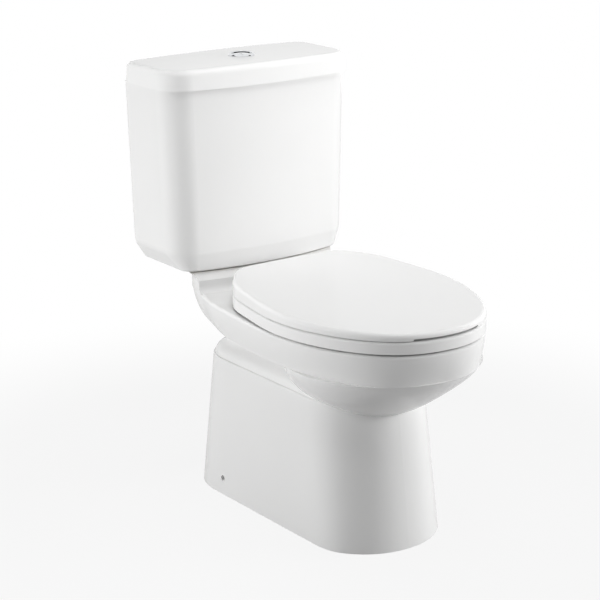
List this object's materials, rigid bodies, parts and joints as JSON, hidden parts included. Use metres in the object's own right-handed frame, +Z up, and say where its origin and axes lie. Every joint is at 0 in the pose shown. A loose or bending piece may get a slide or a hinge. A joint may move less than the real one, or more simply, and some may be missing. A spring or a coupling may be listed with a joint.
{
  "type": "two-piece toilet",
  "caption": "Close-coupled toilet with a skirted pan, a separate cistern with push-button flush, its flush and fill valves, and a hinged seat ring and lid.",
  "frame": {"origin": "on the floor at the centre of the waste outlet", "axes": "+X to the right seen from the front, +Y towards the wall, +Z up"},
  "size_m": [0.3914, 0.6917, 0.7822],
  "materials": {
    "glaze": "gloss",
    "seat": "gloss",
    "chrome": "mirror",
    "valve_plastic": "satin",
    "coloured_plastic": "satin",
    "rubber": "matt",
    "brass": "satin",
    "steel": "brushed",
    "hinge_plastic": "satin"
  },
  "bodies": {
    "pan": {"bowl_rim": "glaze", "bowl_belly": "glaze", "bowl_skirt": "glaze", "bowl_trapway": "glaze", "bowl_outlet": "glaze", "cistern": "glaze", "hinge_posts": "hinge_plastic", "hinge_pins": "steel", "hinge_studs": "steel", "hinge_sleeves": "rubber", "hinge_nuts": "coloured_plastic", "valve_base": "valve_plastic", "valve_washer": "rubber", "valve_tower": "valve_plastic", "valve_head": "valve_plastic", "valve_nut": "coloured_plastic", "tank_gasket": "rubber", "fill_valve_body": "valve_plastic", "fill_valve_head": "valve_plastic", "fill_valve_washer": "rubber", "fill_valve_nut": "coloured_plastic", "tank_bolts": "brass", "tank_bolt_seals": "rubber", "tank_bolt_washers": "brass", "tank_bolt_nuts": "brass"},
    "lid_assembly": {"cistern_lid": "glaze", "button_bezel": "chrome", "button_nut": "coloured_plastic"},
    "full_button": {"full_flush_button": "chrome", "full_push_rod": "coloured_plastic"},
    "half_button": {"half_flush_button": "chrome", "half_push_rod": "coloured_plastic"},
    "flush_core": {"valve_core": "valve_plastic", "valve_seal": "rubber"},
    "float": {"fill_valve_float": "valve_plastic"},
    "float_arm": {"fill_valve_lever": "coloured_plastic"},
    "seat": {"seat_ring": "seat", "seat_bumpers": "rubber"},
    "cover": {"seat_lid": "seat", "lid_bumpers": "rubber"}
  },
  "joints": [
    {"name": "cistern_lid_lift", "type": "slide", "parent": "pan", "child": "lid_assembly", "axis": [0, 0, 1], "range_m": [0, 0.25]},
    {"name": "full_flush_press", "type": "slide", "parent": "lid_assembly", "child": "full_button", "axis": [0, 0, -1], "range_m": [0, 0.008], "stiffness_N_per_m": 300, "springref_m": -0.004},
    {"name": "half_flush_press", "type": "slide", "parent": "lid_assembly", "child": "half_button", "axis": [0, 0, -1], "range_m": [0, 0.008], "stiffness_N_per_m": 300, "springref_m": -0.004},
    {"name": "flush_core_lift", "type": "slide", "parent": "pan", "child": "flush_core", "axis": [0, 0, 1], "range_m": [0, 0.02]},
    {"name": "float_rise", "type": "slide", "parent": "pan", "child": "float", "axis": [0, 0, 1], "range_m": [0, 0.016]},
    {"name": "float_arm_turn", "type": "hinge", "parent": "pan", "child": "float_arm", "pos_m": [0.12, 0.17675, 0.626], "axis": [-1, 0, 0], "range_deg": [0, 26.2]},
    {"name": "seat_hinge", "type": "hinge", "parent": "pan", "child": "seat", "pos_m": [0, 0.046, 0.405], "axis": [-1, 0, 0], "range_deg": [0, 94]},
    {"name": "cover_hinge", "type": "hinge", "parent": "seat", "child": "cover", "pos_m": [0, 0.046, 0.405], "axis": [1, 0, 0], "range_deg": [-94, 0]}
  ],
  "couplings": [
    {"joint": "flush_core_lift", "follows": "full_flush_press", "ratio": 2.5},
    {"joint": "float_arm_turn", "follows": "float_rise", "rad_per_m": 28.571}
  ]
}
